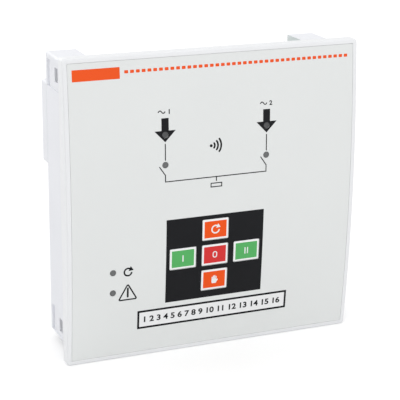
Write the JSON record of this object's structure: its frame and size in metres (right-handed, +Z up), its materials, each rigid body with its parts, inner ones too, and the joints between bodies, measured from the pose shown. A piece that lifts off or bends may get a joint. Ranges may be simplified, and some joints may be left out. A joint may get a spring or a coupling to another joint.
{
  "type": "automatic transfer switch controller",
  "caption": "Square panel-mount controller with a curved front, a printed mimic diagram, sprung keys in a cross, signal windows and plug-in terminals at the back.",
  "frame": {"origin": "centre of the panel cut-out, in the plane where the back of the front frame seats on the panel", "axes": "+Y into the panel, +Z up, +X to the right of a person who faces the front"},
  "size_m": [0.144, 0.048, 0.144],
  "materials": {
    "white_plastic": "fine texture",
    "overlay_film": "satin printed film",
    "gasket_rubber": "matt",
    "orange_key": "satin",
    "green_key": "satin",
    "red_key": "satin",
    "light_guide": "smoked clear",
    "lamp": "gloss",
    "board": "solder mask",
    "black_plastic": "satin",
    "terminal_plastic": "satin",
    "relay_plastic": "gloss",
    "antenna_copper": "etched foil",
    "transformer_iron": "lacquered laminations",
    "steel": "zinc plated"
  },
  "bodies": {
    "chassis": {"board_link": "black_plastic", "capacitor_1": "black_plastic", "capacitor_2": "black_plastic", "cover_screw_bottom_left": "steel", "cover_screw_bottom_right": "steel", "cover_screw_top_left": "steel", "cover_screw_top_right": "steel", "front_bezel": "white_plastic", "front_board": "board", "front_overlay": "overlay_film", "key_auto_switch": "steel", "key_manual_switch": "steel", "key_off_switch": "steel", "key_source_1_switch": "steel", "key_source_2_switch": "steel", "led_alarm": "lamp", "led_auto": "lamp", "led_breaker_1": "lamp", "led_breaker_2": "lamp", "led_source_1": "lamp", "led_source_2": "lamp", "light_guide_alarm": "light_guide", "light_guide_auto": "light_guide", "light_guide_breaker_1": "light_guide", "light_guide_breaker_2": "light_guide", "light_guide_source_1": "light_guide", "light_guide_source_2": "light_guide", "main_board": "board", "microcontroller": "black_plastic", "nfc_antenna": "antenna_copper", "panel_gasket": "gasket_rubber", "rear_cover": "white_plastic", "rear_housing": "white_plastic", "relay_1": "relay_plastic", "relay_2": "relay_plastic", "relay_3": "relay_plastic", "terminal_header_inputs": "terminal_plastic", "terminal_header_outputs": "terminal_plastic", "terminal_header_source_1": "terminal_plastic", "terminal_header_source_2": "terminal_plastic", "terminal_header_supply": "terminal_plastic", "transformer": "transformer_iron"},
    "key_auto": {"key_auto_cap": "orange_key", "key_auto_button": "black_plastic"},
    "key_source_1": {"key_source_1_cap": "green_key", "key_source_1_button": "black_plastic"},
    "key_off": {"key_off_cap": "red_key", "key_off_button": "black_plastic"},
    "key_source_2": {"key_source_2_cap": "green_key", "key_source_2_button": "black_plastic"},
    "key_manual": {"key_manual_cap": "orange_key", "key_manual_button": "black_plastic"},
    "plug_source_1": {"terminal_plug_source_1": "terminal_plastic"},
    "plug_source_2": {"terminal_plug_source_2": "terminal_plastic"},
    "plug_inputs": {"terminal_plug_inputs": "terminal_plastic"},
    "plug_outputs": {"terminal_plug_outputs": "terminal_plastic"},
    "plug_supply": {"terminal_plug_supply": "terminal_plastic"}
  },
  "joints": [
    {"name": "key_auto_press", "type": "slide", "parent": "chassis", "child": "key_auto", "axis": [0, 1, 0], "range_m": [0, 0.00045], "stiffness_N_per_m": 2500, "springref_m": -0.0002},
    {"name": "key_source_1_press", "type": "slide", "parent": "chassis", "child": "key_source_1", "axis": [0, 1, 0], "range_m": [0, 0.00045], "stiffness_N_per_m": 2500, "springref_m": -0.0002},
    {"name": "key_off_press", "type": "slide", "parent": "chassis", "child": "key_off", "axis": [0, 1, 0], "range_m": [0, 0.00045], "stiffness_N_per_m": 2500, "springref_m": -0.0002},
    {"name": "key_source_2_press", "type": "slide", "parent": "chassis", "child": "key_source_2", "axis": [0, 1, 0], "range_m": [0, 0.00045], "stiffness_N_per_m": 2500, "springref_m": -0.0002},
    {"name": "key_manual_press", "type": "slide", "parent": "chassis", "child": "key_manual", "axis": [0, 1, 0], "range_m": [0, 0.00045], "stiffness_N_per_m": 2500, "springref_m": -0.0002},
    {"name": "plug_source_1_pull", "type": "slide", "parent": "chassis", "child": "plug_source_1", "axis": [0, 1, 0], "range_m": [0, 0.01]},
    {"name": "plug_source_2_pull", "type": "slide", "parent": "chassis", "child": "plug_source_2", "axis": [0, 1, 0], "range_m": [0, 0.01]},
    {"name": "plug_inputs_pull", "type": "slide", "parent": "chassis", "child": "plug_inputs", "axis": [0, 1, 0], "range_m": [0, 0.01]},
    {"name": "plug_outputs_pull", "type": "slide", "parent": "chassis", "child": "plug_outputs", "axis": [0, 1, 0], "range_m": [0, 0.01]},
    {"name": "plug_supply_pull", "type": "slide", "parent": "chassis", "child": "plug_supply", "axis": [0, 1, 0], "range_m": [0, 0.01]}
  ]
}
